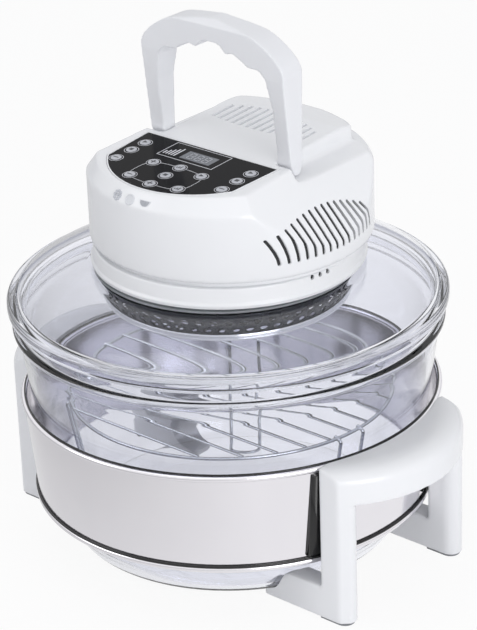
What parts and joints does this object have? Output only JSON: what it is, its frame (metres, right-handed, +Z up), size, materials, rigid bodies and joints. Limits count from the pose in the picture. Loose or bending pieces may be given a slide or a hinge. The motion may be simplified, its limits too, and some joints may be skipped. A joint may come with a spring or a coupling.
{
  "type": "halogen oven",
  "caption": "Round tabletop halogen oven: glass bowl in a polished band with side grips, wire rack, and a lift-off glass lid with a fan and lamp head and folding carry handle.",
  "frame": {"origin": "on the floor, on the axis of the bowl", "axes": "+Z up, the control panel faces -Y, +X is the object's right side grip seen from behind the panel"},
  "size_m": [0.404, 0.342, 0.427],
  "materials": {
    "polished_steel": "mirror polished stainless sheet",
    "white_moulding": "white satin gloss moulding",
    "screw_steel": "plain bright steel",
    "foot_rubber": "matt grey rubber",
    "clear_glass": "clear heat proof glass",
    "rack_wire": "chromed round wire",
    "clear_silicone": "translucent silicone",
    "panel_black": "gloss black sheet",
    "display_grey": "dark grey display",
    "key_silver": "silver painted caps",
    "icon_grey": "pale grey lenses",
    "board_green": "green board",
    "guard_steel": "dark perforated steel",
    "trim_chrome": "bright ring",
    "reflector_steel": "bright plate",
    "lamp_quartz": "quartz tube",
    "ceramic_white": "unglazed ceramic",
    "motor_alloy": "plain metal",
    "fan_plastic": "white moulding",
    "inner_black": "black moulding"
  },
  "bodies": {
    "stand": {"steel_band": "polished_steel", "right_leg_frame": "white_moulding", "left_leg_frame": "white_moulding", "band_screw_1": "screw_steel", "band_screw_2": "screw_steel", "band_screw_3": "screw_steel", "band_screw_4": "screw_steel", "right_foot_pad_1": "foot_rubber", "right_foot_pad_2": "foot_rubber", "left_foot_pad_1": "foot_rubber", "left_foot_pad_2": "foot_rubber"},
    "bowl": {"glass_bowl": "clear_glass"},
    "rack": {"wire_rack": "rack_wire"},
    "lid": {"glass_lid": "clear_glass", "rim_seal": "clear_silicone", "collar_seal": "clear_silicone", "lower_housing": "white_moulding", "main_housing": "white_moulding", "control_panel": "panel_black", "lcd_window": "display_grey", "display_module": "display_grey", "circuit_board": "board_green", "indicator_lens_1": "icon_grey", "indicator_lens_2": "icon_grey", "indicator_lens_3": "icon_grey", "fan_guard": "guard_steel", "guard_trim_ring": "trim_chrome", "reflector_plate": "reflector_steel", "halogen_lamp": "lamp_quartz", "lamp_holder_1": "ceramic_white", "lamp_holder_2": "ceramic_white", "motor": "motor_alloy", "motor_bracket": "motor_alloy", "thermostat": "inner_black", "micro_switch": "inner_black", "cord_gland": "foot_rubber", "right_hinge_pin": "screw_steel", "left_hinge_pin": "screw_steel", "clamp_screw_1": "screw_steel", "clamp_screw_2": "screw_steel", "clamp_screw_3": "screw_steel", "clamp_screw_4": "screw_steel"},
    "rotor": {"motor_shaft": "screw_steel", "hot_air_fan": "motor_alloy", "cooling_fan": "fan_plastic"},
    "handle": {"carry_handle": "white_moulding"},
    "plunger": {"switch_plunger": "foot_rubber"},
    "key_01_cap": {"key_01": "key_silver"},
    "key_02_cap": {"key_02": "key_silver"},
    "key_03_cap": {"key_03": "key_silver"},
    "key_04_cap": {"key_04": "key_silver"},
    "key_05_cap": {"key_05": "key_silver"},
    "key_06_cap": {"key_06": "key_silver"},
    "key_07_cap": {"key_07": "key_silver"},
    "key_08_cap": {"key_08": "key_silver"},
    "key_09_cap": {"key_09": "key_silver"},
    "key_10_cap": {"key_10": "key_silver"},
    "key_11_cap": {"key_11": "key_silver"},
    "key_12_cap": {"key_12": "key_silver"},
    "key_13_cap": {"key_13": "key_silver"}
  },
  "joints": [
    {"name": "bowl_lift", "type": "slide", "parent": "stand", "child": "bowl", "axis": [0, 0, 1], "range_m": [0, 0.14]},
    {"name": "rack_lift", "type": "slide", "parent": "bowl", "child": "rack", "axis": [0, 0, 1], "range_m": [0, 0.06]},
    {"name": "lid_lift", "type": "slide", "parent": "bowl", "child": "lid", "axis": [0, 0, 1], "range_m": [0, 0.15]},
    {"name": "handle_fold", "type": "hinge", "parent": "lid", "child": "handle", "pos_m": [0, 0.0035, 0.3193], "axis": [-1, 0, 0], "range_deg": [0, 72]},
    {"name": "fan_spin", "type": "hinge", "parent": "lid", "child": "rotor", "pos_m": [0, 0, 0.24], "axis": [0, 0, 1], "continuous": true},
    {"name": "switch_press", "type": "slide", "parent": "lid", "child": "plunger", "axis": [0, 0, -1], "range_m": [0, 0.0006], "stiffness_N_per_m": 50},
    {"name": "key_01_press", "type": "slide", "parent": "lid", "child": "key_01_cap", "axis": [0, 0.0541, -0.9985], "range_m": [0, 0.0005], "stiffness_N_per_m": 400},
    {"name": "key_02_press", "type": "slide", "parent": "lid", "child": "key_02_cap", "axis": [0, 0.0541, -0.9985], "range_m": [0, 0.0005], "stiffness_N_per_m": 400},
    {"name": "key_03_press", "type": "slide", "parent": "lid", "child": "key_03_cap", "axis": [0, 0.0541, -0.9985], "range_m": [0, 0.0005], "stiffness_N_per_m": 400},
    {"name": "key_04_press", "type": "slide", "parent": "lid", "child": "key_04_cap", "axis": [0, 0.0541, -0.9985], "range_m": [0, 0.0005], "stiffness_N_per_m": 400},
    {"name": "key_05_press", "type": "slide", "parent": "lid", "child": "key_05_cap", "axis": [0, 0.0541, -0.9985], "range_m": [0, 0.0005], "stiffness_N_per_m": 400},
    {"name": "key_06_press", "type": "slide", "parent": "lid", "child": "key_06_cap", "axis": [0, 0.0541, -0.9985], "range_m": [0, 0.0005], "stiffness_N_per_m": 400},
    {"name": "key_07_press", "type": "slide", "parent": "lid", "child": "key_07_cap", "axis": [0, 0.0541, -0.9985], "range_m": [0, 0.0005], "stiffness_N_per_m": 400},
    {"name": "key_08_press", "type": "slide", "parent": "lid", "child": "key_08_cap", "axis": [0, 0.0541, -0.9985], "range_m": [0, 0.0005], "stiffness_N_per_m": 400},
    {"name": "key_09_press", "type": "slide", "parent": "lid", "child": "key_09_cap", "axis": [0, 0.0541, -0.9985], "range_m": [0, 0.0005], "stiffness_N_per_m": 400},
    {"name": "key_10_press", "type": "slide", "parent": "lid", "child": "key_10_cap", "axis": [0, 0.0541, -0.9985], "range_m": [0, 0.0005], "stiffness_N_per_m": 400},
    {"name": "key_11_press", "type": "slide", "parent": "lid", "child": "key_11_cap", "axis": [0, 0.0541, -0.9985], "range_m": [0, 0.0005], "stiffness_N_per_m": 400},
    {"name": "key_12_press", "type": "slide", "parent": "lid", "child": "key_12_cap", "axis": [0, 0.0541, -0.9985], "range_m": [0, 0.0005], "stiffness_N_per_m": 400},
    {"name": "key_13_press", "type": "slide", "parent": "lid", "child": "key_13_cap", "axis": [0, 0.0541, -0.9985], "range_m": [0, 0.0005], "stiffness_N_per_m": 400}
  ],
  "couplings": [
    {"joint": "switch_press", "follows": "handle_fold", "m_per_rad": 0.000477}
  ]
}
